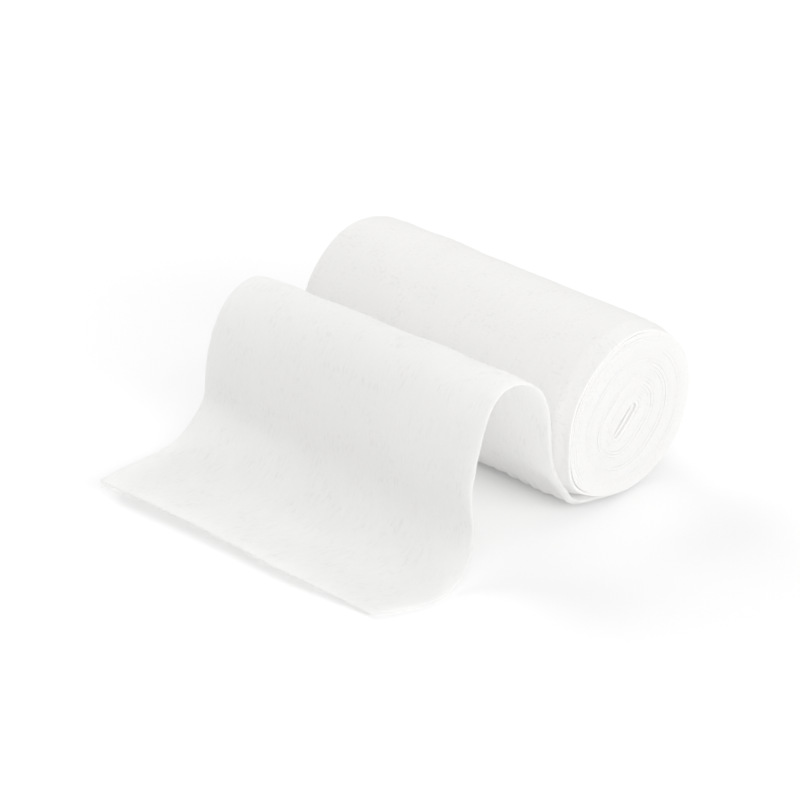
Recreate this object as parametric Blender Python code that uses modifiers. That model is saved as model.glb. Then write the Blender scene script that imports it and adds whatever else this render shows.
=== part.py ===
"""Gauze bandage roll, lying on its side, with a loose end that arches up beside it.

Metres, +Z up. The roll's axis runs along X and the near end of the roll is at +X. The loose end
leaves the roll at the bottom, towards -Y. The origin is the middle of the underside of the box
round the whole bandage. Both pieces are modelled with x from the middle of the roll's length, y
from its axis and z from the surface that it lies on, and are then placed by their location.
"""
import math

import bmesh
import bpy
from mathutils import Vector

MM = 0.001

# Cloth
BANDAGE_WIDTH = 100 * MM
CLOTH_THICKNESS = 1.0 * MM

# Wound roll: its radius at each end, just before the outermost turn lifts off
NEAR_RADIUS = 24.8 * MM
FAR_RADIUS = 23.6 * MM
RIM_RADIUS = 2.4 * MM
FLAT_SPOT_DEPTH = 0.45 * MM

# The lap, where the outermost turn lifts off and the outline steps in to the turn below
LAP_ANGLE = math.radians(-104)
LAP_SPREAD = math.radians(1.5)
LAP_AIR = 0.48 * MM
LAP_STEP = CLOTH_THICKNESS + LAP_AIR

# Relief of the ends: bundles of turns stand up as one spiral ridge round a pinched middle
RIDGE_PITCH = 5.2 * MM
RIDGE_HEIGHT = 0.7 * MM
PINCH_RADIUS = 3.5 * MM
PINCH_DEPTH = 2.5 * MM

# Where the middle of the roll's axis lies, seen from the origin
AXIS_X = -1.85 * MM
AXIS_Y = 36.46 * MM

# How finely the pieces are divided
ROLL_COLUMNS = 48
RIM_ROWS = 3
END_ROWS = 13
SIDE_ROWS = 4
CLOTH_COLUMNS = 8
STEPS_BETWEEN_FOLDS = 3

# Where the loose end still follows the round of the roll, and how far it stands off the outline
HUGGING_ANGLES = [math.radians(degrees) for degrees in (-105.2, -110, -116)]
HUGGING_LIFT = 0.1 * MM

# The folds of the loose end, from the roll to the cut end, at the middle of the cloth's thickness,
# in mm. Each row gives the two edges of the cloth, and how far the middle of its width stands off
# the straight line between them.
FOLD_COLUMNS = ("fold", "near_x", "near_y", "near_z", "far_x", "far_y", "far_z", "mid_y", "mid_z")
FOLDS = (
    ("leaves the roll", 50.0, -15.4, 3.4, -50.0, -15.0, 2.7, 0.0, -0.3),
    ("foot, bend", 50.0, -20.7, 5.5, -50.0, -19.7, 2.3, 0.0, -0.8),
    ("inner leg, foot", 50.0, -23.4, 9.2, -50.0, -22.9, 5.8, 0.0, -0.6),
    ("inner leg, low", 50.0, -26.6, 15.0, -50.0, -25.9, 12.0, 0.0, -0.2),
    ("inner leg, middle", 50.0, -29.1, 23.5, -50.0, -28.2, 20.5, 0.0, 0.0),
    ("inner leg, top", 50.0, -30.7, 35.5, -50.0, -30.6, 31.0, 0.0, 0.3),
    ("arch, inner shoulder", 50.0, -34.4, 44.0, -50.0, -34.8, 38.9, 0.0, 0.4),
    ("arch, crest", 50.0, -43.0, 48.7, -50.0, -42.6, 42.5, 0.0, 0.4),
    ("arch, outer shoulder", 50.0, -50.2, 46.4, -50.0, -50.1, 39.9, 0.0, 0.3),
    ("outer leg, top", 50.0, -54.0, 40.2, -50.0, -54.3, 35.7, 0.2, 0.0),
    ("outer leg, middle", 50.0, -57.3, 28.6, -50.0, -58.2, 26.6, 0.6, 0.0),
    ("outer leg, belly", 50.2, -58.4, 21.0, -50.0, -59.7, 19.0, 0.8, 0.0),
    ("outer leg, waist", 50.8, -58.1, 13.2, -50.0, -60.5, 13.0, 0.6, 0.0),
    ("outer leg, foot", 52.1, -60.8, 6.4, -50.0, -63.8, 8.4, 0.3, 0.0),
    ("reaches the floor", 53.5, -67.6, 1.6, -50.0, -70.0, 3.9, 0.0, 0.0),
    ("lies, widest", 53.5, -75.6, 0.5, -50.0, -78.4, 2.1, 0.0, 0.0),
    ("lies, narrowing", 50.9, -83.5, 0.7, -50.0, -87.8, 2.1, 0.0, 0.4),
    ("cut end", 47.0, -90.4, 0.9, -50.0, -97.2, 1.6, 0.0, 0.8),
)

CLOTH_WHITE = (0.90, 0.895, 0.875, 1.0)
CLOTH_ROUGHNESS = 0.95
SHARP_EDGE = math.radians(40)
COLLECTION_NAME = "gauze_bandage_roll"


def clear_scene():
    """Remove every object that the file opened with."""
    for scene_object in list(bpy.data.objects):
        bpy.data.objects.remove(scene_object, do_unlink=True)


def end_radius(near_share):
    """Radius just before the lap, between the far end (0) and the near end (1)."""
    return FAR_RADIUS + (NEAR_RADIUS - FAR_RADIUS) * near_share


def axis_height(near_share):
    """Height of the roll's axis over the surface that the roll lies on."""
    return end_radius(near_share) - FLAT_SPOT_DEPTH


def wound_radius(angle, near_share):
    """Radius of the wound outline, which shrinks by one lap step in a turn from the lap."""
    turned = (angle - LAP_ANGLE) / math.tau
    return end_radius(near_share) - LAP_STEP * turned


def roll_angles():
    """Angles round the axis, from just past the lap to just short of it one turn on."""
    first = LAP_ANGLE + LAP_SPREAD / 2
    last = LAP_ANGLE + math.tau - LAP_SPREAD / 2
    step = (last - first) / (ROLL_COLUMNS - 1)
    return [first + step * column for column in range(ROLL_COLUMNS)]


def end_relief(round_radius, angle):
    """How far the end face lies inside the ends' plane: a spiral ridge and the pinched middle.

    round_radius is counted as if the roll had no lap, so that the ridge runs on across the lap.
    """
    phase = round_radius / RIDGE_PITCH + angle / math.tau
    hollow = RIDGE_HEIGHT * (1 - math.cos(math.tau * phase)) / 2
    if round_radius < PINCH_RADIUS:
        hollow += PINCH_DEPTH * (1 - round_radius / PINCH_RADIUS) ** 2
    return hollow


def section_rows():
    """Rows of the roll from the near end's middle to the far end's: (side, share, bend).

    side is +1 or -1 for an end face and its rim, and 0 for the round side. share is the share of
    the radius on an end face, and the place between the rims on the round side. bend is how far
    the rim has turned from the end face to the round side.
    """
    face = [(row + 1) / END_ROWS for row in range(END_ROWS)]
    rim = [math.pi / 2 * (row + 1) / RIM_ROWS for row in range(RIM_ROWS)]
    rows = [(+1, share, 0.0) for share in face]
    rows += [(+1, 1.0, bend) for bend in rim]
    rows += [(0, (row + 1) / SIDE_ROWS, 0.0) for row in range(SIDE_ROWS - 1)]
    rows += [(-1, 1.0, bend) for bend in reversed(rim)]
    rows += [(-1, share, 0.0) for share in reversed(face)]
    return rows


def roll_point(side, share, bend, angle):
    """One point of the roll's surface. Its underside is pressed flat on the surface below."""
    straight = BANDAGE_WIDTH / 2 - RIM_RADIUS
    if side == 0:
        along = straight - 2 * straight * share
        inset = 0.0
    else:
        along = side * (straight + RIM_RADIUS * math.cos(bend))
        inset = RIM_RADIUS * (1 - math.sin(bend))
    near_share = 0.5 + along / BANDAGE_WIDTH
    radius = wound_radius(angle, near_share) - inset
    if side != 0 and bend == 0.0:
        radius *= share
        relief = end_relief(share * end_radius(near_share), angle)
        fading_at_rim = min(1.0, (1.0 - share) * END_ROWS)
        along -= side * relief * fading_at_rim
    height = axis_height(near_share) + radius * math.sin(angle)
    return Vector((along, radius * math.cos(angle), max(height, 0.0)))


def make_wound_roll():
    """Loft the roll through its rows, whose outlines all differ because the turns wind inwards."""
    mesh = bmesh.new()
    angles = roll_angles()
    rows = []
    for side, share, bend in section_rows():
        rows.append([mesh.verts.new(roll_point(side, share, bend, angle)) for angle in angles])
    for row, following in zip(rows, rows[1:]):
        for column in range(ROLL_COLUMNS):
            neighbour = (column + 1) % ROLL_COLUMNS
            mesh.faces.new((row[column], following[column], following[neighbour], row[neighbour]))
    for side, row in ((+1, rows[0]), (-1, rows[-1])):
        along = side * (BANDAGE_WIDTH / 2 - PINCH_DEPTH)
        middle = mesh.verts.new((along, 0.0, axis_height(0.5 + side / 2)))
        for column in range(ROLL_COLUMNS):
            mesh.faces.new((middle, row[column], row[(column + 1) % ROLL_COLUMNS]))
    bmesh.ops.recalc_face_normals(mesh, faces=mesh.faces)
    return mesh_object("wound_roll", mesh)


def hugging_edge(angle, near_share):
    """A point on an edge of the loose end where it still lies round the roll."""
    radius = end_radius(near_share) - CLOTH_THICKNESS / 2 + HUGGING_LIFT
    height = axis_height(near_share) + radius * math.sin(angle)
    along = BANDAGE_WIDTH * (near_share - 0.5)
    return Vector((along, radius * math.cos(angle), height))


def edges_of_folds():
    """The loose end's edges at each of its folds, as (near edge, far edge, lift of the middle)."""
    edges = []
    for angle in HUGGING_ANGLES:
        edges.append((hugging_edge(angle, 1.0), hugging_edge(angle, 0.0), Vector()))
    for values in FOLDS:
        row = dict(zip(FOLD_COLUMNS, values))
        near = Vector((row["near_x"], row["near_y"], row["near_z"])) * MM
        far = Vector((row["far_x"], row["far_y"], row["far_z"])) * MM
        lift = Vector((0.0, row["mid_y"], row["mid_z"])) * MM
        edges.append((near, far, lift))
    return edges


def smooth_path(points, steps):
    """Points on a smooth curve through the given ones, with steps spans between each pair."""
    chords = [(after - before).length for before, after in zip(points, points[1:])]
    slopes = [(after - before) / chord for before, after, chord in zip(points, points[1:], chords)]
    tangents = [slopes[0]]
    for index in range(1, len(slopes)):
        before, after = chords[index - 1], chords[index]
        tangents.append((slopes[index - 1] * after + slopes[index] * before) / (before + after))
    tangents.append(slopes[-1])
    path = [points[0]]
    for index, chord in enumerate(chords):
        for step in range(1, steps + 1):
            t = step / steps
            path.append(
                points[index] * (2 * t**3 - 3 * t**2 + 1)
                + tangents[index] * chord * (t**3 - 2 * t**2 + t)
                + points[index + 1] * (3 * t**2 - 2 * t**3)
                + tangents[index + 1] * chord * (t**3 - t**2)
            )
    return path


def even_steps(values, steps):
    """The given values with the spans between them divided into even steps."""
    divided = [values[0]]
    for before, after in zip(values, values[1:]):
        divided += [before.lerp(after, (step + 1) / steps) for step in range(steps)]
    return divided


def make_loose_end():
    """Loft the middle surface of the loose end through its folds, and give it its thickness."""
    edges = edges_of_folds()
    near_path = smooth_path([near for near, far, lift in edges], STEPS_BETWEEN_FOLDS)
    far_path = smooth_path([far for near, far, lift in edges], STEPS_BETWEEN_FOLDS)
    lift_path = even_steps([lift for near, far, lift in edges], STEPS_BETWEEN_FOLDS)
    mesh = bmesh.new()
    rows = []
    for near, far, lift in zip(near_path, far_path, lift_path):
        row = []
        for column in range(CLOTH_COLUMNS + 1):
            across = column / CLOTH_COLUMNS
            place = near.lerp(far, across) + lift * (4 * across * (1 - across))
            place.z = max(place.z, CLOTH_THICKNESS / 2)
            row.append(mesh.verts.new(place))
        rows.append(row)
    for row, following in zip(rows, rows[1:]):
        for column in range(CLOTH_COLUMNS):
            mesh.faces.new((row[column], row[column + 1], following[column + 1], following[column]))
    loose_end = mesh_object("loose_end", mesh)
    thickness = loose_end.modifiers.new("thickness", "SOLIDIFY")
    thickness.thickness = CLOTH_THICKNESS
    thickness.offset = 0.0
    thickness.use_even_offset = True
    return loose_end


def mesh_object(name, mesh):
    """Make an object of the mesh, smooth shaded but for its sharp edges."""
    data = bpy.data.meshes.new(name)
    mesh.to_mesh(data)
    mesh.free()
    data.shade_smooth()
    data.set_sharp_from_angle(angle=SHARP_EDGE)
    return bpy.data.objects.new(name, data)


def gauze_material(name):
    """Matt white cotton gauze."""
    material = bpy.data.materials.new(name)
    material.use_nodes = True
    shader = material.node_tree.nodes["Principled BSDF"]
    shader.inputs["Base Color"].default_value = CLOTH_WHITE
    shader.inputs["Roughness"].default_value = CLOTH_ROUGHNESS
    shader.inputs["Metallic"].default_value = 0.0
    return material


def main():
    """Build the two pieces of the bandage in its own collection."""
    clear_scene()
    collection = bpy.data.collections.new(COLLECTION_NAME)
    bpy.context.scene.collection.children.link(collection)
    for piece in (make_wound_roll(), make_loose_end()):
        piece.location = (AXIS_X, AXIS_Y, 0.0)
        piece.data.materials.append(gauze_material(piece.name + "_gauze"))
        collection.objects.link(piece)


main()
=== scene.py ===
"""Gauze bandage roll, lying on its side, with a loose end that arches up beside it.

The bandage is one strip of crepe gauze. It is wound on itself from a pinched core outwards, leaves
the roll under its lower side, rises beside the roll in a tall arch and comes down in an S to its
cut end. Three sheets hold it: the wound turns, the outermost turn and the loose end. Each is cut
flat as a grid, and is then laid along the strip's own path.

Metres, +Z up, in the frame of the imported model: the roll's axis runs along X, the near end is at
+X, and the loose end lies towards -Y.
"""
import logging
import math
from dataclasses import dataclass, field
from enum import Enum
from typing import Any

import bpy
import numpy as np
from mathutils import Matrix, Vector


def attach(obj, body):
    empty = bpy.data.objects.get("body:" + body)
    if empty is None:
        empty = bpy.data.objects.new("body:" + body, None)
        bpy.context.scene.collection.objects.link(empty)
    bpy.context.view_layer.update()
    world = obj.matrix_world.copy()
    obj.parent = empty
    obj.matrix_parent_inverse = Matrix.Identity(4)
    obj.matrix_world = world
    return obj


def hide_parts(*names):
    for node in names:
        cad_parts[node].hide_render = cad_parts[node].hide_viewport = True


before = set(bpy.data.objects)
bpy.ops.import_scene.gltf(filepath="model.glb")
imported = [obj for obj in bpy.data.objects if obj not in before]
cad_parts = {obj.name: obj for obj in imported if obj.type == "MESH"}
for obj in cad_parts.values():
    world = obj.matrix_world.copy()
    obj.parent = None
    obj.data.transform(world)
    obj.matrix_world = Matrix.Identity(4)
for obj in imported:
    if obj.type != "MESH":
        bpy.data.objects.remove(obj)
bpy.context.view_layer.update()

MM = 0.001
STRIP_WIDTH = 100 * MM
UV_NAME = "strip"
Colour = tuple[float, float, float]
log = logging.getLogger("bandage")


class Hold(Enum):
    """How a sheet of the strip is held."""

    WOUND = "folded"
    ARCHED = "laid"


# ---------------------------------------------------------------- curves and relief


def smooth_step(value: np.ndarray) -> np.ndarray:
    """Ease from 0 to 1 as the value goes from 0 to 1."""
    share = np.clip(value, 0.0, 1.0)
    return share * share * (3.0 - 2.0 * share)


def spline(knots: np.ndarray, values: np.ndarray, places: np.ndarray) -> np.ndarray:
    """Read a natural cubic spline.

    Args:
        knots: Rising places of the values, one for each row.
        values: The rows that the spline goes through.
        places: Where to read it.

    Returns:
        One row for each place.
    """
    gaps = np.diff(knots)
    slopes = np.diff(values, axis=0) / gaps[:, None]
    system = np.eye(len(knots))
    right = np.zeros_like(values)
    for row in range(1, len(knots) - 1):
        before, after = gaps[row - 1], gaps[row]
        system[row, row - 1:row + 2] = before, 2 * (before + after), after
        right[row] = 6 * (slopes[row] - slopes[row - 1])
    bends = np.linalg.solve(system, right)
    span = np.clip(np.searchsorted(knots, places) - 1, 0, len(gaps) - 1)
    gap = gaps[span][:, None]
    past = places[:, None] - knots[span][:, None]
    left = gap - past
    start, end = bends[span], bends[span + 1]
    return (
        (start * left**3 + end * past**3) / (6 * gap)
        + (values[span] / gap - start * gap / 6) * left
        + (values[span + 1] / gap - end * gap / 6) * past
    )


@dataclass(frozen=True)
class Ripples:
    """Soft uneven relief: many faint straight waves in all directions, added up.

    Wavelengths are in the units of the places that the relief is read at.
    """

    seed: int
    waves: int
    across: tuple[float, float]
    along: tuple[float, float]

    def height(self, across: np.ndarray, along: np.ndarray) -> np.ndarray:
        """Read the relief.

        Args:
            across: Places across the strip.
            along: Places along it, of a shape that goes with across.

        Returns:
            Heights whose spread is about 1.
        """
        random = np.random.default_rng(self.seed)
        total = np.zeros(np.broadcast(across, along).shape)
        for _ in range(self.waves):
            wide = random.uniform(*self.across) * random.choice((-1.0, 1.0))
            long = random.uniform(*self.along)
            phase = random.uniform(0.0, math.tau)
            total += np.cos(math.tau * (across / wide + along / long) + phase)
        return total / math.sqrt(self.waves / 2)


# ---------------------------------------------------------------- the strip and its path


@dataclass(frozen=True)
class Fold:
    """One fold of the loose end, in mm: both edges and how far the middle stands off their line."""

    near: tuple[float, float, float]
    far: tuple[float, float, float]
    middle: tuple[float, float] = (0.0, 0.0)


FOLDS = (
    Fold((50.0, -9.6, 1.7), (-50.0, -9.0, 0.8), (0.4, -0.4)),
    Fold((49.6, -13.4, 2.5), (-50.0, -12.2, 0.9), (0.8, -0.8)),
    Fold((48.7, -17.8, 3.7), (-50.0, -15.9, 0.9), (1.1, -1.4)),
    Fold((48.9, -21.8, 8.1), (-50.0, -20.4, 3.2), (1.1, -2.0)),
    Fold((49.5, -26.1, 14.5), (-50.0, -25.0, 9.8), (0.5, -1.0)),
    Fold((50.0, -29.1, 23.5), (-50.0, -28.2, 20.5)),
    Fold((50.0, -30.7, 35.5), (-50.0, -30.6, 31.0), (0.0, 0.3)),
    Fold((50.0, -34.4, 44.0), (-50.0, -34.8, 38.9), (0.0, 0.4)),
    Fold((50.0, -43.0, 48.7), (-50.0, -42.6, 42.5), (0.0, 0.4)),
    Fold((50.0, -50.2, 46.4), (-50.0, -50.1, 39.9), (0.0, 0.3)),
    Fold((50.0, -54.0, 40.2), (-50.0, -54.3, 35.7), (0.2, 0.0)),
    Fold((50.0, -57.3, 28.6), (-50.0, -58.2, 26.6), (0.6, 0.0)),
    Fold((50.2, -58.4, 21.0), (-50.0, -59.7, 19.0), (0.8, 0.0)),
    Fold((50.8, -58.1, 13.2), (-50.0, -60.5, 13.0), (0.6, 0.0)),
    Fold((52.1, -60.8, 6.4), (-50.0, -63.8, 8.4), (0.3, 0.0)),
    Fold((53.5, -67.6, 1.6), (-50.0, -70.0, 3.9)),
    Fold((53.5, -75.6, 0.5), (-50.0, -78.4, 2.1)),
    Fold((50.9, -83.5, 0.7), (-48.9, -88.9, 2.9), (0.0, 0.6)),
    Fold((47.0, -90.4, 0.9), (-47.2, -99.9, 3.7), (-0.6, 1.4)),
)


@dataclass(frozen=True)
class Winding:
    """The roll: how the strip is wound, as offsets of a pinched core that become round outwards.

    Turns are counted inwards from the lap, where the outermost turn lifts off. A turn's angle is
    that of its normal, from +Y towards +Z.
    """

    width: float = STRIP_WIDTH
    thickness: float = 0.9 * MM
    axis_x: float = -1.85 * MM
    axis_y: float = 36.46 * MM
    near_radius: float = 24.8 * MM
    far_radius: float = 23.6 * MM
    flat_depth: float = 0.45 * MM
    flat_reach: float = 4.0 * MM
    turns: float = 25.0
    lap_angle: float = math.radians(-104)
    core_length: float = 4.4 * MM
    core_width: float = 0.22 * MM
    core_tilt: float = math.radians(44)
    core_off: tuple[float, float] = (-3.2 * MM, -0.5 * MM)
    slack: float = 2.8 * MM
    slack_angle: float = math.radians(-147)
    slack_reach: float = math.radians(33)
    slack_start: float = 0.5
    slack_turns: float = 7.0
    bundle_turns: float = 5.7
    bundle_squeeze: float = 0.10

    def radius(self, near_share: np.ndarray) -> np.ndarray:
        """Outer radius at the lap, between the far end (0) and the near end (1)."""
        return self.far_radius + (self.near_radius - self.far_radius) * near_share

    def axis_height(self, near_share: np.ndarray) -> np.ndarray:
        """Height of the axis, with the underside pressed a little flat."""
        return self.radius(near_share) - self.flat_depth

    def _offset(self, turned: np.ndarray, near_share: float) -> np.ndarray:
        """Distance of the wound strip's tangent from the axis.

        Args:
            turned: Turns inwards from the lap.
            near_share: Where the section lies, from the far end (0) to the near end (1).

        Returns:
            The distance at each place.
        """
        angle = self.lap_angle + math.tau * turned
        bundle = math.tau / self.bundle_turns
        squeeze = self.bundle_squeeze * np.sin(bundle * turned) / bundle
        inward = (turned + squeeze) / self.turns
        from_tilt = angle - self.core_tilt
        core = np.hypot(
            self.core_length * np.cos(from_tilt), self.core_width * np.sin(from_tilt)
        )
        core += self.core_off[0] * np.cos(angle) + self.core_off[1] * np.sin(angle)
        outer = self.radius(near_share) - self.thickness / 2
        from_slack = (angle - self.slack_angle + math.pi) % math.tau - math.pi
        outer = outer + self.slack * smooth_step(turned / self.slack_start) * np.exp(
            -((from_slack / self.slack_reach) ** 2)
            - np.maximum(turned - 1.0, 0.0) / self.slack_turns
        )
        return outer * (1 - inward) + core * inward

    def spacing(self, turned: np.ndarray, near_share: float) -> np.ndarray:
        """Distance between neighbouring turns.

        Args:
            turned: Turns inwards from the lap.
            near_share: Where the section lies, from the far end (0) to the near end (1).

        Returns:
            The mean of both sides at each place, or the inner side's on the outermost turn.
        """
        here = self._offset(turned, near_share)
        inside = here - self._offset(turned + 1.0, near_share)
        outside = self._offset(turned - 1.0, near_share) - here
        return np.where(turned < 1.0, inside, (inside + outside) / 2)

    def section(self, turned: np.ndarray, near_share: float) -> np.ndarray:
        """Middle line of the wound strip in a section across the axis.

        Args:
            turned: Turns inwards from the lap, closely and evenly spaced.
            near_share: Where the section lies, from the far end (0) to the near end (1).

        Returns:
            A row of y, z for each place, from the axis and from the floor.
        """
        angle = self.lap_angle + math.tau * turned
        offset = self._offset(turned, near_share)
        slope = np.gradient(offset, angle)
        y = offset * np.cos(angle) - slope * np.sin(angle)
        z = offset * np.sin(angle) + slope * np.cos(angle)
        return np.stack([y, self.axis_height(near_share) + z], axis=-1)


@dataclass(frozen=True)
class Selvedge:
    """How the strip's two long edges lie in the roll: drawn in outside, uneven, pinched inside."""

    near_seed: int = 21
    far_seed: int = 22
    near_out: float = 1.6 * MM
    far_out: float = 2.3 * MM
    drawn_in: float = 0.9 * MM
    drawn_turns: float = 2.6
    near_droop: float = 1.4 * MM
    far_droop: float = 0.5 * MM
    droop_width: float = 5.0 * MM
    droop_depth: float = 2.6 * MM
    bundle_height: float = 0.2 * MM
    bundle_phase: float = 0.6
    uneven: float = 0.035 * MM
    turn_uneven: float = 0.01 * MM
    pinch_turns: float = 2.0
    pinch_depth: float = 1.7 * MM

    def inset(self, turned: np.ndarray, winding: Winding, seed: int) -> np.ndarray:
        """How far an edge of the strip lies inside the ends' plane.

        Args:
            turned: Turns inwards from the lap.
            winding: The roll that the strip is wound in.
            seed: Picks the unevenness, which differs between the ends.

        Returns:
            The inset at each place.
        """
        inset = self.drawn_in * np.exp(-np.maximum(turned, 0.0) / self.drawn_turns)
        bundle = math.tau * turned / winding.bundle_turns + self.bundle_phase
        inset += self.bundle_height * (1 - np.cos(bundle)) / 2
        ripples = Ripples(seed, waves=14, across=(1.6, 7.0), along=(0.16, 1.1))
        inset += self.uneven * ripples.height(turned, turned % 1.0)
        turn_ripples = Ripples(seed + 1, waves=10, across=(0.9, 1.9), along=(0.25, 0.9))
        inset += self.turn_uneven * turn_ripples.height(turned, turned % 1.0)
        pinch = np.clip((turned - winding.turns + self.pinch_turns) / self.pinch_turns, 0, 1)
        return inset + self.pinch_depth * pinch**2


@dataclass(frozen=True)
class Crepe:
    """The cloth's own relief: lengthwise ribs, drawn together unevenly into fine crinkles."""

    rib_pitch: float = 3.3 * MM
    rib_height: float = 0.035 * MM
    rib_wander: float = 0.35 * MM
    crinkle_height: float = 0.022 * MM
    sway_height: float = 0.10 * MM
    gather_height: float = 0.24 * MM
    gather_place: float = 134 * MM
    gather_reach: float = 7 * MM
    unevenness: float = 0.3
    wanders: Ripples = Ripples(3, 8, (9 * MM, 40 * MM), (12 * MM, 60 * MM))
    patches: Ripples = Ripples(4, 10, (7 * MM, 25 * MM), (6 * MM, 20 * MM))
    crinkles: Ripples = Ripples(5, 40, (1.7 * MM, 3.6 * MM), (2.6 * MM, 9 * MM))
    sways: Ripples = Ripples(8, 16, (14 * MM, 60 * MM), (14 * MM, 50 * MM))
    gathers: Ripples = Ripples(9, 9, (2.2 * MM, 4.6 * MM), (25 * MM, 60 * MM))

    def relief(self, across: np.ndarray, along: np.ndarray) -> np.ndarray:
        """Height of the cloth's middle off its smooth form.

        Args:
            across: Metres across the strip from its near edge.
            along: Metres along it from its cut end.

        Returns:
            The height at each place.
        """
        wander = self.rib_wander * self.wanders.height(across, along)
        patchy = 1 + self.unevenness * self.patches.height(across, along)
        ribs = np.cos(math.tau * (across + wander) / self.rib_pitch) * patchy
        gather = self.gathers.height(across, along)
        gather *= np.exp(-(((along - self.gather_place) / self.gather_reach) ** 2))
        return (
            self.rib_height * ribs
            + self.crinkle_height * self.crinkles.height(across, along)
            + self.sway_height * self.sways.height(across, along)
            + self.gather_height * gather
        )


@dataclass(frozen=True)
class CutEnd:
    """The cut: not quite straight and a little ragged.

    Its reaches are how far it goes past the straight cut at its places across the strip, in mm.
    """

    places: tuple[float, ...] = (0.0, 12.0, 24.0, 33.0, 45.0, 60.0, 80.0, 100.0)
    reaches: tuple[float, ...] = (0.0, 0.3, 1.0, 1.3, 0.5, 0.0, 0.2, 0.0)
    fade: float = 6 * MM
    ragged: float = 0.12 * MM
    ragged_fade: float = 0.7 * MM
    raggedness: Ripples = Ripples(31, 20, (0.9 * MM, 4 * MM), (40 * MM, 90 * MM))

    def reach(self, across: np.ndarray, along: np.ndarray) -> np.ndarray:
        """How far the cloth is carried past the straight cut.

        Args:
            across: Metres across the strip from its near edge.
            along: Metres along it from its cut end.

        Returns:
            The distance at each place, outwards along the strip.
        """
        places, reaches = np.array(self.places) * MM, np.array(self.reaches) * MM
        wave = spline(places, reaches[:, None], across.ravel())[:, 0].reshape(across.shape)
        ragged = self.ragged * self.raggedness.height(across, along)
        return wave * np.exp(-along / self.fade) + ragged * np.exp(-along / self.ragged_fade)


@dataclass(frozen=True)
class Rows:
    """Crosswise lines of the strip, one for each row of cells.

    Each has the places of its two edges, its middle's lift off their line in y and z, its turns
    inwards from the lap, how far it follows the roll (0 to 1) and its distance from the cut end.
    """

    near: np.ndarray
    far: np.ndarray
    lift: np.ndarray
    turned: np.ndarray
    wound: np.ndarray
    along: np.ndarray


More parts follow.
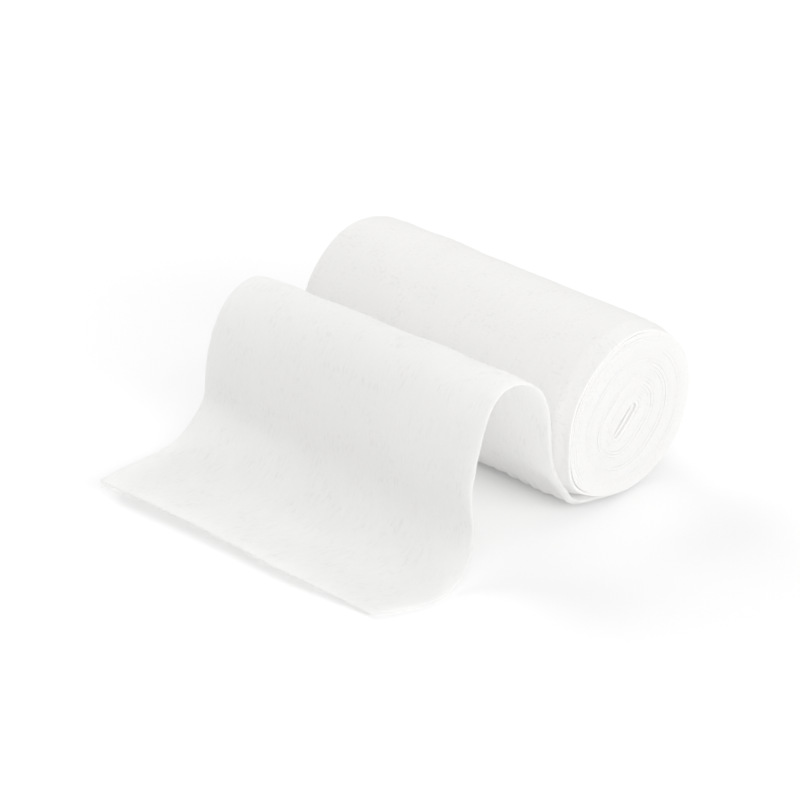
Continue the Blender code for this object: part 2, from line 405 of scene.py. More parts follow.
@dataclass
class StripPath:
    """The whole way of the strip, from its cut end to its core."""

    winding: Winding = field(default_factory=Winding)
    selvedge: Selvedge = field(default_factory=Selvedge)
    crepe: Crepe = field(default_factory=Crepe)
    cut: CutEnd = field(default_factory=CutEnd)
    seam_angle: float = math.radians(-96)
    lead_in_angles: tuple[float, ...] = (-60, -72, -84)
    hugging_angles: tuple[float, ...] = (-101, -106)
    release: float = 22 * MM
    fine_step: float = 0.4 * MM
    close_turn: float = 1e-4

    def __post_init__(self) -> None:
        """Read the loose end's line from its folds, finely."""
        seam = math.degrees(self.seam_angle)
        angles = np.radians(self.lead_in_angles + (seam,) + self.hugging_angles)
        turned = (angles - self.winding.lap_angle) / math.tau
        knots = []
        for place in turned:
            around = np.array([place - self.close_turn, place, place + self.close_turn])
            near = self.winding.section(around, 1.0)[1]
            far = self.winding.section(around, 0.0)[1]
            half = self.winding.width / 2
            knots.append([half, *near, -half, *far, 0.0, 0.0])
        for fold in FOLDS:
            knots.append([value * MM for value in (*fold.near, *fold.far, *fold.middle)])
        knots = np.array(knots)
        steps = np.linalg.norm(np.diff(knots[:, 0:6], axis=0), axis=1) / math.sqrt(2)
        places = np.concatenate([[0.0], np.cumsum(steps)])
        seam_place = places[len(self.lead_in_angles)]
        count = math.ceil((places[-1] - seam_place) / self.fine_step)
        fine = np.linspace(seam_place, places[-1], count)
        self._line = spline(places, knots, fine)
        self._line_length = self._lengths(self._line[:, 0:3], self._line[:, 3:6])

    @staticmethod
    def _lengths(near: np.ndarray, far: np.ndarray) -> np.ndarray:
        """Measure along a band, midway between its two edges.

        Args:
            near: Places along its near edge.
            far: Places along its far edge, as many.

        Returns:
            The distance of each place from the first.
        """
        middle = (near + far) / 2
        steps = np.linalg.norm(np.diff(middle, axis=0), axis=1)
        return np.concatenate([[0.0], np.cumsum(steps)])

    @property
    def loose_length(self) -> float:
        """Length of the strip from its cut end to the seam under the roll."""
        return float(self._line_length[-1])

    @property
    def seam_turned(self) -> float:
        """Turns from the lap to the seam."""
        return (self.seam_angle - self.winding.lap_angle) / math.tau

    def loose_rows(self, count: int) -> Rows:
        """Evenly spaced rows from the cut end to the seam.

        Args:
            count: Number of rows.

        Returns:
            The rows.
        """
        from_seam = np.linspace(self.loose_length, 0.0, count)
        line = np.stack(
            [np.interp(from_seam, self._line_length, column) for column in self._line.T], axis=1
        )
        hugging = math.radians(self.hugging_angles[0] - self.hugging_angles[-1])
        hugged = hugging * self.winding.near_radius
        wound = 1 - smooth_step((from_seam - hugged / 2) / self.release)
        return Rows(
            line[:, 0:3],
            line[:, 3:6],
            line[:, 6:8],
            np.full(count, self.seam_turned),
            wound,
            self.loose_length - from_seam,
        )

    def wound_rows(self, turned: np.ndarray, along: float) -> Rows:
        """Rows of the wound strip.

        Args:
            turned: Turns inwards from the lap, evenly spaced.
            along: Distance of the first row from the cut end.

        Returns:
            The rows.
        """
        half = np.full(len(turned), self.winding.width / 2)
        near = np.column_stack([half, self.winding.section(turned, 1.0)])
        far = np.column_stack([-half, self.winding.section(turned, 0.0)])
        lengths = along + self._lengths(near, far)
        lift = np.zeros((len(turned), 2))
        return Rows(near, far, lift, turned, np.ones(len(turned)), lengths)

    def lay(self, rows: Rows, across: np.ndarray, relief_share: float) -> np.ndarray:
        """Places of the cloth's middle surface.

        Args:
            rows: The crosswise lines.
            across: Shares of the width from the near edge (0) to the far edge (1).
            relief_share: How much of the crepe's relief shows.

        Returns:
            An array of rows, columns and x, y, z.
        """
        share = across[None, :, None]
        bow = 4 * share * (1 - share)
        cloth = rows.near[:, None] * (1 - share) + rows.far[:, None] * share
        cloth[..., 1:] += rows.lift[:, None] * bow
        cloth = self._settle(cloth, rows, across)
        distance = across[None, :] * self.winding.width
        if rows.along[0] == 0.0:
            ahead = cloth[0] - cloth[1]
            ahead /= np.linalg.norm(ahead, axis=1, keepdims=True)
            cloth += ahead * self.cut.reach(distance, rows.along[:, None])[..., None]
        relief = relief_share * self.crepe.relief(distance, rows.along[:, None])
        cloth += self._normals(cloth) * relief[..., None]
        cloth[..., 2] = np.maximum(cloth[..., 2], self.winding.thickness / 2)
        cloth[..., 0] += self.winding.axis_x
        cloth[..., 1] += self.winding.axis_y
        return cloth

    def _settle(self, cloth: np.ndarray, rows: Rows, across: np.ndarray) -> np.ndarray:
        """Draw the edges of the wound cloth in and press its underside flat.

        Args:
            cloth: Rows, columns and x, y, z from the axis and the floor. They are changed.
            rows: The crosswise lines that it follows.
            across: Shares of the width of each column.

        Returns:
            The same array.
        """
        winding, selvedge = self.winding, self.selvedge
        wound = rows.wound[:, None]
        near_inset = selvedge.inset(rows.turned, winding, selvedge.near_seed) - selvedge.near_out
        far_inset = selvedge.inset(rows.turned, winding, selvedge.far_seed) - selvedge.far_out
        inset = np.where(across[None, :] < 0.5, near_inset[:, None], far_inset[:, None])
        cloth[..., 0] *= 1 - wound * inset / (winding.width / 2)
        near_share = 0.5 + cloth[..., 0] / winding.width
        height = winding.axis_height(near_share)
        y, z = cloth[..., 1], cloth[..., 2] - height
        reach = np.hypot(y, z)
        inside = winding.radius(near_share) - reach
        from_edge = winding.width / 2 - np.abs(cloth[..., 0])
        edge = smooth_step(1 - from_edge / selvedge.droop_width)
        droop = np.where(cloth[..., 0] > 0, selvedge.near_droop, selvedge.far_droop) * edge
        droop *= np.exp(-np.maximum(inside, 0) / selvedge.droop_depth)
        scale = 1 - wound * droop / np.maximum(reach, MM)
        cloth[..., 1] = y * scale
        cloth[..., 2] = height + z * scale
        pressed = winding.flat_depth * np.exp(-np.maximum(cloth[..., 2], 0) / winding.flat_reach)
        cloth[..., 2] += wound * pressed
        return cloth

    @staticmethod
    def _normals(cloth: np.ndarray) -> np.ndarray:
        """Unit normals of a surface.

        Args:
            cloth: Rows, columns and x, y, z.

        Returns:
            An array of the same form.
        """
        along = np.gradient(cloth, axis=0)
        across = np.gradient(cloth, axis=1)
        normals = np.cross(along, across)
        return normals / np.linalg.norm(normals, axis=2, keepdims=True)


# ---------------------------------------------------------------- cutting and laying the cloth


@dataclass(frozen=True)
class Cloth:
    """How a sheet of the strip is cut and thickened.

    Its cells are fine near its long edges and even between them. Fullness is the share of the
    thickness in the outermost columns and in the rows nearest the cut.
    """

    columns: int
    relief_share: float
    edge_steps: tuple[float, ...] = (0.0, 0.12 * MM, 0.35 * MM, 0.8 * MM)
    edge_fullness: tuple[float, ...] = (0.25, 0.62, 0.9)
    cut_fullness: tuple[float, ...] = ()
    smooth_angle: float = math.pi

    def shares(self, width: float) -> np.ndarray:
        """Places of the columns.

        Args:
            width: The strip's width.

        Returns:
            Shares of the width, from the near edge (0) to the far edge (1).
        """
        edge = np.array(self.edge_steps) / width
        between = np.linspace(edge[-1], 1 - edge[-1], self.columns)[1:-1]
        return np.concatenate([edge, between, 1 - edge[::-1]])

    def make(
        self, name: str, places: np.ndarray, metric: np.ndarray, thickness: np.ndarray
    ) -> Any:
        """Cut a flat grid, lay it along the path and give it its thickness.

        Args:
            name: The piece's name.
            places: Rows, columns and x, y, z of the middle surface.
            metric: Rows, columns and the metres across and along the strip.
            thickness: The cloth's thickness in each row, away from its edges.

        Returns:
            The finished object.
        """
        rows, columns = places.shape[:2]
        bpy.ops.object.select_all(action="DESELECT")
        bpy.ops.mesh.primitive_grid_add(x_subdivisions=columns - 1, y_subdivisions=rows - 1, size=1)
        piece = bpy.context.object
        piece.name = piece.data.name = name
        mesh = piece.data
        mesh.vertices.foreach_set("co", places.reshape(-1).astype(np.float32))
        corners = np.zeros(len(mesh.loops), np.int32)
        mesh.loops.foreach_get("vertex_index", corners)
        layer = mesh.uv_layers[0]
        layer.name = UV_NAME
        layer.data.foreach_set("uv", metric.reshape(-1, 2)[corners].astype(np.float32).ravel())
        mesh.update()
        self._thicken(piece, columns, thickness)
        bpy.ops.object.shade_smooth_by_angle(angle=self.smooth_angle)
        return piece

    def _thicken(self, piece: Any, columns: int, thickness: np.ndarray) -> None:
        """Give the cloth its thickness, thinner towards its long edges and its cut end.

        Args:
            piece: The sheet, still without thickness.
            columns: Number of its columns.
            thickness: The thickness in each row, away from its edges.
        """
        across, along = np.ones(columns), thickness / thickness.max()
        across[:len(self.edge_fullness)] = self.edge_fullness
        across[::-1][:len(self.edge_fullness)] = self.edge_fullness
        along[:len(self.cut_fullness)] *= self.cut_fullness
        fullness = np.round(along[:, None] * across, 3).ravel()
        group = piece.vertex_groups.new(name="fullness")
        for share in np.unique(fullness):
            group.add(np.flatnonzero(fullness == share).tolist(), float(share), "REPLACE")
        solidify = piece.modifiers.new("thickness", "SOLIDIFY")
        solidify.thickness = float(thickness.max())
        solidify.offset = 0.0
        solidify.vertex_group = group.name
        solidify.use_even_offset = False
        bpy.ops.object.modifier_apply(modifier=solidify.name)
        piece.vertex_groups.clear()


@dataclass(frozen=True)
class CutYarn:
    """A crosswise yarn that has come off the cut, held at both its ends.

    Its ends are in mm across the strip from the near edge, and out is how far it stands off.
    """

    start: float
    end: float
    out: float


@dataclass(frozen=True)
class LooseYarns:
    """The yarns that have come loose at the cut: a few lying along it and short ends out of it."""

    radius: float = 0.10 * MM
    step: float = 1.1 * MM
    yarns: tuple[CutYarn, ...] = (
        CutYarn(15.0, 20.5, 1.0),
        CutYarn(38.0, 44.0, 0.7),
        CutYarn(56.0, 65.5, 1.1),
        CutYarn(81.0, 98.5, 1.2),
    )
    ends: int = 34
    end_lengths: tuple[float, float] = (0.5 * MM, 1.9 * MM)
    end_radius: float = 0.055 * MM
    seed: int = 41
    sunk: float = 0.1 * MM
    sag: float = 0.35
    end_margin: float = 1 * MM
    end_sunk: float = 0.2 * MM
    end_aside: float = 0.7
    end_sag: float = 0.5
    end_shares: tuple[float, ...] = (0.0, 0.35, 0.7, 1.0)

    def make(self, name: str, across: np.ndarray, cut: np.ndarray, ahead: np.ndarray) -> Any:
        """Make the yarns as one piece.

        Args:
            name: The piece's name.
            across: Metres across the strip of each place along the cut.
            cut: The places along the cut.
            ahead: Unit directions out of the cut.

        Returns:
            The finished object.
        """
        data = bpy.data.curves.new(name, "CURVE")
        data.dimensions = "3D"
        data.bevel_depth = self.radius
        data.bevel_resolution = 1
        data.use_fill_caps = True
        for yarn in self.yarns:
            self._add(data, self._along_cut(yarn, across, cut, ahead), 1.0)
        random = np.random.default_rng(self.seed)
        for _ in range(self.ends):
            points = self._out_of_cut(random, across, cut, ahead)
            self._add(data, points, self.end_radius / self.radius)
        piece = bpy.data.objects.new(name, data)
        bpy.context.scene.collection.objects.link(piece)
        bpy.ops.object.select_all(action="DESELECT")
        piece.select_set(True)
        bpy.context.view_layer.objects.active = piece
        bpy.ops.object.convert(target="MESH")
        self._map(piece)
        return piece

    @staticmethod
    def _at(place: float, across: np.ndarray, values: np.ndarray) -> np.ndarray:
        """Read a row of values along the cut at a place across the strip."""
        return np.array([np.interp(place, across, column) for column in values.T])

    def _along_cut(
        self, yarn: CutYarn, across: np.ndarray, cut: np.ndarray, ahead: np.ndarray
    ) -> np.ndarray:
        """Lead a yarn along the cut, with its ends in the cloth.

        Args:
            yarn: The yarn.
            across: Metres across the strip of each place along the cut.
            cut: The places along the cut.
            ahead: Unit directions out of the cut.

        Returns:
            The yarn's points.
        """
        start, end = yarn.start * MM, yarn.end * MM
        count = round((end - start) / self.step) + 3
        points = []
        for share in np.linspace(0.0, 1.0, count):
            place = start + (end - start) * share
            out = yarn.out * MM * math.sin(math.pi * share) ** 0.5 - self.sunk
            point = self._at(place, across, cut) + self._at(place, across, ahead) * out
            point[2] -= out * self.sag
            points.append(point)
        return np.array(points)

    def _out_of_cut(
        self, random: Any, across: np.ndarray, cut: np.ndarray, ahead: np.ndarray
    ) -> np.ndarray:
        """Lead a short yarn end out of the cut, drooping.

        Args:
            random: Random numbers that pick its place, length and direction.
            across: Metres across the strip of each place along the cut.
            cut: The places along the cut.
            ahead: Unit directions out of the cut.

        Returns:
            The yarn end's points.
        """
        place = random.uniform(across[0] + self.end_margin, across[-1] - self.end_margin)
        length = random.uniform(*self.end_lengths)
        aside = random.uniform(-self.end_aside, self.end_aside)
        out = self._at(place, across, ahead)
        sideways = np.array([-out[1], out[0], 0.0])
        start = self._at(place, across, cut) - out * self.end_sunk
        points = []
        for share in self.end_shares:
            point = start + (out + sideways * aside * share) * length * share
            point[2] -= self.end_sag * length * share**2
            points.append(point)
        return np.array(points)

    def _add(self, data: Any, points: np.ndarray, radius: float) -> None:
        """Add a yarn, kept off the floor.

        Args:
            data: The curve that holds all the yarns.
            points: The points that it goes through.
            radius: Its radius, as a share of the full one.
        """
        line = data.splines.new("POLY")
        line.points.add(len(points) - 1)
        for knot, point in zip(line.points, points):
            knot.co = (point[0], point[1], max(point[2], self.radius), 1.0)
            knot.radius = radius

    @staticmethod
    def _map(piece: Any) -> None:
        """Give the yarns the strip's map, by their place, and smooth them.

        Args:
            piece: The yarns as one mesh.
        """
        mesh = piece.data
        for layer in list(mesh.uv_layers):
            mesh.uv_layers.remove(layer)
        layer = mesh.uv_layers.new(name=UV_NAME)
        for corner in mesh.loops:
            place = mesh.vertices[corner.vertex_index].co
            layer.data[corner.index].uv = (place.x, place.y)
        bpy.ops.object.shade_smooth()


# ---------------------------------------------------------------- finishes


class Shade:
    """A shader socket in arithmetic: every operation adds its Math node."""

    def __init__(self, bench: "Bench", socket: Any) -> None:
        """Wrap a socket of the bench's tree."""
        self.bench = bench
        self.socket = socket

    def math(self, operation: str, *others: "Shade | float") -> "Shade":
        """Apply a Math operation to this value and the others."""
        return self.bench.math(operation, self, *others)

    def __add__(self, other: "Shade | float") -> "Shade":
        """Add."""
        return self.math("ADD", other)

    __radd__ = __add__

    def __mul__(self, other: "Shade | float") -> "Shade":
        """Multiply."""
        return self.math("MULTIPLY", other)

    __rmul__ = __mul__

    def __sub__(self, other: "Shade | float") -> "Shade":
        """Subtract the other."""
        return self.math("SUBTRACT", other)

    def __rsub__(self, other: float) -> "Shade":
        """Subtract this from a number."""
        return self.bench.math("SUBTRACT", other, self)

    def __truediv__(self, other: float) -> "Shade":
        """Divide by a number."""
        return self.math("DIVIDE", other)

    def __rtruediv__(self, other: float) -> "Shade":
        """Divide a number by this."""
        return self.bench.math("DIVIDE", other, self)

    def wave(self, period: float) -> "Shade":
        """A wave of this value, from 0 to 1, with the given period."""
        return (self * (math.tau / period)).math("COSINE") * 0.5 + 0.5


class Bench:
    """A material's node tree, and the one way in which nodes are added to it."""

    def __init__(self, name: str) -> None:
        """Make the material and clear its tree.

        Args:
            name: The material's name.
        """
        self.material = bpy.data.materials.new(name)
        self.material.use_nodes = True
        self.tree = self.material.node_tree
        self.tree.nodes.clear()

    def node(self, kind: str, settings: dict[str, Any], **sockets: Any) -> Any:
        """Add a node.

        Args:
            kind: The node's type.
            settings: Properties of the node, set first.
            **sockets: Values or shades of its sockets, named in lower case with underscores.

        Returns:
            The node.
        """
        node = self.tree.nodes.new(kind)
        for name, value in settings.items():
            setattr(node, name, value)
        by_name = {socket.identifier.lower().replace(" ", "_"): socket for socket in node.inputs}
        for name, value in sockets.items():
            self.plug(by_name[name], value)
        return node

    def plug(self, socket: Any, value: Any) -> None:
        """Link a shade to a socket, or set its value.

        Args:
            socket: The socket that takes it.
            value: A shade, or a plain value.
        """
        if isinstance(value, Shade):
            self.tree.links.new(value.socket, socket)
        else:
            socket.default_value = value

    def math(self, operation: str, *values: "Shade | float") -> Shade:
        """Add a Math node.

        Args:
            operation: Its operation.
            *values: The shades and numbers that it works on.

        Returns:
            Its result.
        """
        node = self.node("ShaderNodeMath", {"operation": operation})
        for socket, value in zip(node.inputs, values):
            self.plug(socket, value)
        return Shade(self, node.outputs[0])

    def strip_place(self) -> tuple[Shade, Shade]:
        """Read the piece's own map.

        Returns:
            Metres across the strip and along it.
        """
        place = self.node("ShaderNodeUVMap", {"uv_map": UV_NAME})
        parts = self.node("ShaderNodeSeparateXYZ", {}, vector=Shade(self, place.outputs[0]))
        return Shade(self, parts.outputs[0]), Shade(self, parts.outputs[1])

    def noise(
        self, across: Shade, along: Shade, size: tuple[float, float], detail: float
    ) -> Shade:
        """Add noise over the strip.

        Args:
            across: Metres across the strip.
            along: Metres along it.
            size: Size of the noise's patches across and along the strip.
            detail: How many finer layers it has.

        Returns:
            The noise, mostly from 0 to 1.
        """
        place = self.node("ShaderNodeCombineXYZ", {}, x=across / size[0], y=along / size[1])
        noise = self.node(
            "ShaderNodeTexNoise",
            {"noise_dimensions": "2D"},
            vector=Shade(self, place.outputs[0]),
            scale=1.0,
            detail=detail,
        )
        return Shade(self, noise.outputs[0])

    def blend(self, share: Shade, first: Colour, second: Colour) -> Shade:
        """Mix two colours.

        Args:
            share: From 0, for the first alone, to 1, for the second alone.
            first: The first colour.
            second: The second colour.

        Returns:
            The mixed colour.
        """
        mix = self.node(
            "ShaderNodeMix",
            {"data_type": "RGBA"},
            factor_float=share,
            a_color=(*first, 1.0),
            b_color=(*second, 1.0),
        )
        return Shade(self, mix.outputs["Result"])


@dataclass(frozen=True)
class GauzeFinish:
    """White cotton crepe gauze: yarns both ways, short slots between them darkened with painted
    shade, and some sheer.
    """

    name: str
    white: Colour
    # Colour of the painted shade in the slots and streaks between the yarns.
    slot_painted_shade: Colour
    slot_size: tuple[float, float]
    sheer: float
    sheer_white: tuple[float, float, float, float] = (0.975, 0.973, 0.967, 1.0)
    roughness: float = 0.95
    warp_pitch: float = 1.1 * MM
    weft_pitch: float = 0.9 * MM
    warp_height: float = 0.3
    weft_height: float = 0.15
    slot_start: float = 0.53
    slot_sharpness: float = 5.0
    slot_depth: float = 0.7
    patch_size: float = 7 * MM
    patch_start: float = 0.3
    patch_sharpness: float = 2.2
    patch_least: float = 0.1
    streak_size: tuple[float, float] = (1.5 * MM, 6 * MM)
    streak_start: float = 0.3
    streaks: float = 0.45
    # Painted shade along the long edges: it dims the bright edge that the lamps light.
    rim_width: float = 0.3 * MM
    rim_painted_shade: float = 0.0
    sway_size: tuple[float, float] = (6 * MM, 18 * MM)
    sway: float = 0.9 * MM
    fuzz_size: tuple[float, float] = (0.25 * MM, 0.4 * MM)
    fuzz: float = 0.3
    bump: float = 0.35
    bump_depth: float = 0.2 * MM

    def _slots(self, bench: Bench, across: Shade, along: Shade) -> Shade:
        """Lay out the short slots and the thinner streaks between the yarns, which take painted
        shade in the colour and a dip in the bump.

        Args:
            bench: The material's bench.
            across: Metres across the strip.
            along: Metres along it.

        Returns:
            How much they show, from about 0 to 1.
        """
        places = bench.noise(across, along, self.slot_size, detail=1.0)
        patch = bench.noise(across, along, (self.patch_size, self.patch_size), detail=1.0)
        slots = (places - self.slot_start) * self.slot_sharpness
        slots = slots.math("MAXIMUM", 0.0).math("MINIMUM", 1.0)
        patch = (patch - self.patch_start) * self.patch_sharpness
        slots = slots * patch.math("MAXIMUM", self.patch_least).math("MINIMUM", 1.0)
        streaks = bench.noise(across, along, self.streak_size, detail=2.0)
        return slots + (streaks - self.streak_start) * self.streaks

    def _painted_shade_rims(self, across: Shade) -> Shade:
        """Mark the strip's two long edges, where painted shade dims the edge that the lamps light
        brightly.

        Args:
            across: Metres across the strip.

        Returns:
            A value that rises from 0 inside to 1 at the very edge.
        """
        near_rim = (1 - across / self.rim_width).math("MAXIMUM", 0.0)
        far_rim = (1 - (STRIP_WIDTH - across) / self.rim_width).math("MAXIMUM", 0.0)
        return near_rim + far_rim

    def material(self) -> Any:
        """Make the material, from the strip's own map.

        Returns:
            The material.
        """
        bench = Bench(self.name)
        straight, along = bench.strip_place()
        sway = bench.noise(straight, along, self.sway_size, detail=1.0) - 0.5
        across = straight + sway * self.sway
        slots = self._slots(bench, across, along)
        # Painted shade: the slots, the streaks and the long edges darken the colour.
        painted_shade = slots + self._painted_shade_rims(straight) * self.rim_painted_shade
        fuzz = bench.noise(across, along, self.fuzz_size, detail=3.0)
        warp = across.wave(self.warp_pitch) * self.warp_height
        weft = along.wave(self.weft_pitch) * self.weft_height
        bump = bench.node(
            "ShaderNodeBump",
            {},
            strength=self.bump,
            distance=self.bump_depth,
            height=warp + weft + fuzz * self.fuzz - slots * self.slot_depth,
        )
        normal = Shade(bench, bump.outputs[0])
        cloth = bench.node(
            "ShaderNodeBsdfPrincipled",
            {},
            base_color=bench.blend(painted_shade, self.white, self.slot_painted_shade),
            roughness=self.roughness,
            specular_ior_level=0.1,
            sheen_weight=0.1,
            sheen_roughness=0.6,
            normal=normal,
        )
        sheer = bench.node(
            "ShaderNodeBsdfTranslucent", {}, color=self.sheer_white, normal=normal
        )
        mix = bench.node(
            "ShaderNodeMixShader",
            {},
            fac=self.sheer,
            shader=Shade(bench, cloth.outputs[0]),
            shader_001=Shade(bench, sheer.outputs[0]),
        )
        bench.node("ShaderNodeOutputMaterial", {}, surface=Shade(bench, mix.outputs[0]))
        return bench.material


SINGLE_LAYER = GauzeFinish(
    name="gauze_single",
    white=(0.95, 0.95, 0.945),
    # Painted shade in the slots between the yarns of the single layer.
    slot_painted_shade=(0.73, 0.73, 0.72),
    slot_size=(0.8 * MM, 2.4 * MM),
    sheer=0.66,
    # Painted shade dims the loose end's long edges.
    rim_painted_shade=0.5,
)
# The roll's copy of the gauze: its whites are lighter than the loose end's, partly for its many
# dense layers and partly as painted light that lifts the roll's shaded side. Its slots take less
# painted shade.
MANY_LAYERS_PAINTED_LIGHTER = GauzeFinish(
    name="gauze_wound",
    white=(0.975, 0.968, 0.957),
    slot_painted_shade=(0.87, 0.863, 0.85),
    slot_size=(1.2 * MM, 0.95 * MM),
    sheer=0.3,
)


@dataclass(frozen=True)
class FloorFinish:
    """Plain white floor."""

    white: tuple[float, float, float, float] = (0.96, 0.96, 0.96, 1.0)

    def material(self, name: str) -> Any:
        """Make the material.

        Args:
            name: Its name.

        Returns:
            The material.
        """
        bench = Bench(name)
        shader = bench.node(
            "ShaderNodeBsdfPrincipled",
            {},
            base_color=self.white,
            roughness=0.9,
            specular_ior_level=0.0,
        )
        bench.node("ShaderNodeOutputMaterial", {}, surface=Shade(bench, shader.outputs[0]))
        return bench.material


# ---------------------------------------------------------------- the bandage


@dataclass
class Bandage:
    """The strip's three sheets, which ride on the one body."""

    path: StripPath = field(default_factory=StripPath)
    loose_cells: Cloth = field(
        default_factory=lambda: Cloth(180, relief_share=1.0, cut_fullness=(0.3, 0.55, 0.8, 0.95))
    )
    yarns: LooseYarns = field(default_factory=LooseYarns)
    outer_cells: Cloth = field(default_factory=lambda: Cloth(180, relief_share=0.7))
    wound_cells: Cloth = field(
        default_factory=lambda: Cloth(
            5, relief_share=0.0, edge_fullness=(0.96, 1.0), smooth_angle=math.radians(40)
        )
    )
    loose_row_step: float = 0.68 * MM
    outer_steps: int = 230
    outer_end: float = 1.10
    turn_steps: int = 96
    core_end: float = 0.2
    wound_packing: float = 0.985

    def build(self) -> None:
        single, wound = SINGLE_LAYER.material(), MANY_LAYERS_PAINTED_LIGHTER.material()
        start = self._build_loose_end(single)
        turned = np.linspace(self.path.seam_turned, self.outer_end, self.outer_steps)
        start = self._build_wound("outer_turn", turned, start, self.outer_cells, wound)
        last = self.path.winding.turns - self.core_end
        turned = np.linspace(self.outer_end, last, round((last - self.outer_end) * self.turn_steps))
        self._build_wound("wound_turns", turned, start, self.wound_cells, wound)

    def _build_loose_end(self, material: Any) -> float:
        """Build the loose end, and the loose yarns at its cut.

        Args:
            material: Their finish.

        Returns:
            The loose end's length along the strip.
        """
        length = self.path.loose_length
        rows = self.path.loose_rows(round(length / self.loose_row_step))
        thickness = np.full(len(rows.along), self.path.winding.thickness)
        cloth = self._sheet("loose_cloth", rows, self.loose_cells, thickness)
        yarns = self._fray(rows, material)
        self._dress(cloth, material, "loose_end")
        self._declare(cloth, length)
        return length

    def _build_wound(
        self, name: str, turned: np.ndarray, start: float, cells: Cloth, material: Any
    ) -> float:
        """Build one sheet of the roll.

        Args:
            name: The sheet's name.
            turned: Its rows' turns inwards from the lap.
            start: Distance of its first row from the cut end.
            cells: How it is cut.
            material: Its finish.

        Returns:
            Distance of its last row from the cut end.
        """
        rows = self.path.wound_rows(turned, start)
        thickness = self.path.winding.spacing(turned, near_share=0.5) * self.wound_packing
        cloth = self._sheet(name, rows, cells, thickness)
        end = float(rows.along[-1])
        self._dress(cloth, material, "wound_roll")
        self._declare(cloth, end - start)
        return end

    def _sheet(self, name: str, rows: Rows, cells: Cloth, thickness: np.ndarray) -> Any:
        """Cut and lay one sheet of the strip.

        Args:
            name: The sheet's name.
            rows: The crosswise lines that it follows.
            cells: How it is cut.
            thickness: Its thickness in each row.

        Returns:
            The sheet.
        """
        width = self.path.winding.width
        across = cells.shares(width)
        places = self.path.lay(rows, across, cells.relief_share)
        metric = np.empty(places.shape[:2] + (2,))
        metric[..., 0] = across[None, :] * width
        metric[..., 1] = rows.along[:, None]
        return cells.make(name, places, metric, thickness)

    def _fray(self, rows: Rows, material: Any) -> Any:
        """Lay and dress the yarns that have come loose at the cut.

        Args:
            rows: The crosswise lines of the loose end, from its cut.
            material: The yarns' finish.

        Returns:
            The yarns as one piece.
        """
        width = self.path.winding.width
        across = self.loose_cells.shares(width)
        places = self.path.lay(rows, across, self.loose_cells.relief_share)
        ahead = places[0] - places[1]
        ahead /= np.linalg.norm(ahead, axis=1, keepdims=True)
        yarns = self.yarns.make("cut_yarns", across * width, places[0], ahead)
        self._dress(yarns, material, "loose_end")
        return yarns

    @staticmethod
    def _dress(piece: Any, material: Any, node: str) -> None:
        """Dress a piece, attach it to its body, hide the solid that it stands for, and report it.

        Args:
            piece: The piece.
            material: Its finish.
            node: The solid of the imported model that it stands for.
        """
        piece.data.materials.append(material)
        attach(piece, "root")
        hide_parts(node)
        faces = sum(len(face.vertices) - 2 for face in piece.data.polygons)
        log.info("%s: %d triangles", piece.name, faces)

    def _declare(self, piece: Any, length: float) -> None:
        """Report a sheet's flat length.

        Args:
            piece: The sheet.
            length: Its flat length.
        """
        log.info("%s: %.0f mm of the strip", piece.name, length / MM)


# ---------------------------------------------------------------- the studio


@dataclass(frozen=True)
class Lamp:
    """A soft square light that faces the bandage, placed by its azimuth and elevation."""

    name: str
    azimuth: float
    elevation: float
    power: float
    distance: float = 1.6
    size: float = 1.2


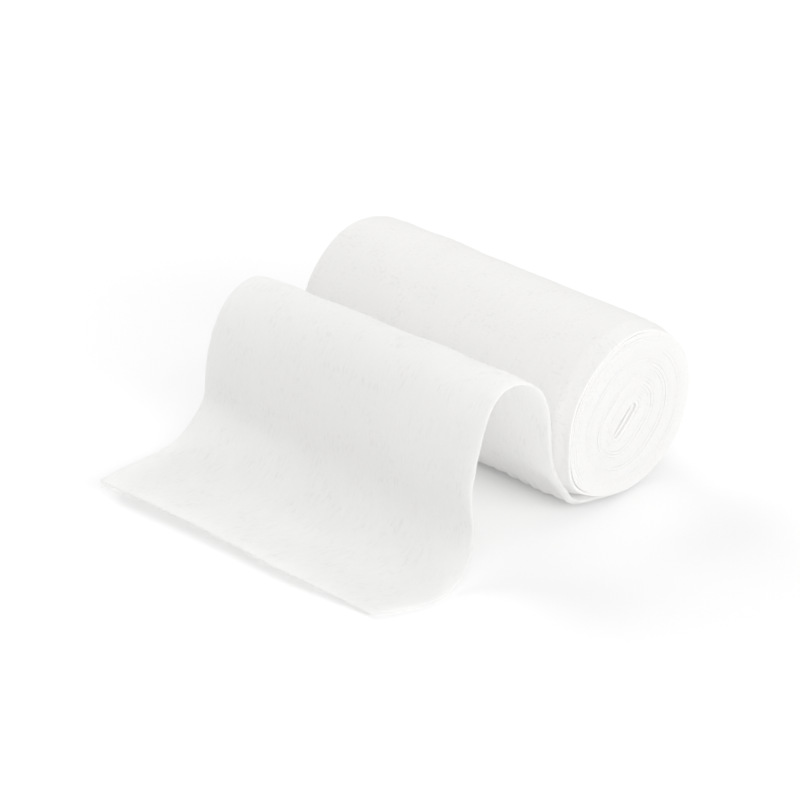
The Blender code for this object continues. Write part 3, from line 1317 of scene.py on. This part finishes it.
@dataclass
class Studio:
    """Plain white floor, soft lamps and a camera at the photograph's angle."""

    floor_size: float = 2.4
    target: tuple[float, float, float] = (-4.05 * MM, 3.86 * MM, 20 * MM)
    azimuth: float = math.radians(45.82)
    elevation: float = math.radians(28.71)
    distance: float = 799.3 * MM
    lens: float = 135.0
    sensor: float = 36.0
    sky: float = 1.0
    gamma: float = 1.65
    lamps: tuple[Lamp, ...] = (
        Lamp("lamp_back", 180, 35, 6.8),
        Lamp("lamp_left", 270, 35, 17.4),
        Lamp("lamp_front", 45, 35, 8.2),
        Lamp("lamp_low_right", 90, 12, 13.4),
        Lamp("lamp_right", 90, 35, 8.6),
        Lamp("lamp_above", 0, 89, 6.3),
    )

    @staticmethod
    def _backward(azimuth: float, elevation: float) -> Vector:
        """Direction from the bandage towards a lamp or the camera.

        Args:
            azimuth: Angle round the bandage, from -Y towards +X.
            elevation: Angle above the floor.

        Returns:
            The unit direction.
        """
        flat = math.cos(elevation)
        return Vector(
            (math.sin(azimuth) * flat, -math.cos(azimuth) * flat, math.sin(elevation))
        )

    def build(self) -> None:
        """Build the floor, the light and the camera."""
        self._build_floor()
        self._build_sky()
        for lamp in self.lamps:
            self._build_lamp(lamp)
        self._build_camera()
        self._set_view()

    def _build_floor(self) -> None:
        """Lay the floor under the bandage."""
        bpy.ops.object.select_all(action="DESELECT")
        bpy.ops.mesh.primitive_plane_add(size=self.floor_size)
        floor = bpy.context.object
        floor.name = "floor"
        floor.data.materials.append(FloorFinish().material("white_floor"))

    def _build_sky(self) -> None:
        """Put plain white behind the floor, which gives no light of its own."""
        world = bpy.data.worlds.new("white_room")
        bpy.context.scene.world = world
        world.use_nodes = True
        background = world.node_tree.nodes["Background"]
        background.inputs["Color"].default_value = (1.0, 1.0, 1.0, 1.0)
        background.inputs["Strength"].default_value = self.sky
        for rays in ("diffuse", "glossy", "transmission", "scatter"):
            setattr(world.cycles_visibility, rays, False)

    def _build_lamp(self, lamp: Lamp) -> None:
        """Hang one soft lamp.

        Args:
            lamp: The lamp.
        """
        data = bpy.data.lights.new(lamp.name, "AREA")
        data.shape = "SQUARE"
        data.size = lamp.size
        data.energy = lamp.power
        holder = bpy.data.objects.new(lamp.name, data)
        bpy.context.scene.collection.objects.link(holder)
        away = self._backward(math.radians(lamp.azimuth), math.radians(lamp.elevation))
        holder.location = away * lamp.distance
        holder.rotation_euler = (-away).to_track_quat("-Z", "Y").to_euler()

    def _build_camera(self) -> None:
        """Set the camera at the photograph's angle."""
        data = bpy.data.cameras.new("camera")
        data.lens = self.lens
        data.sensor_width = self.sensor
        camera = bpy.data.objects.new("camera", data)
        bpy.context.scene.collection.objects.link(camera)
        back = self._backward(self.azimuth, self.elevation)
        camera.location = Vector(self.target) + back * self.distance
        camera.rotation_euler = (-back).to_track_quat("-Z", "Y").to_euler()
        bpy.context.scene.camera = camera

    def _set_view(self) -> None:
        """Show the bright greys apart from each other."""
        view = bpy.context.scene.view_settings
        view.view_transform = "Standard"
        view.look = "None"
        view.gamma = self.gamma


def main() -> None:
    """Build the bandage and its studio."""
    logging.basicConfig(level=logging.INFO, format="%(name)s: %(message)s")
    Bandage().build()
    Studio().build()


if __name__ == "__main__":
    main()
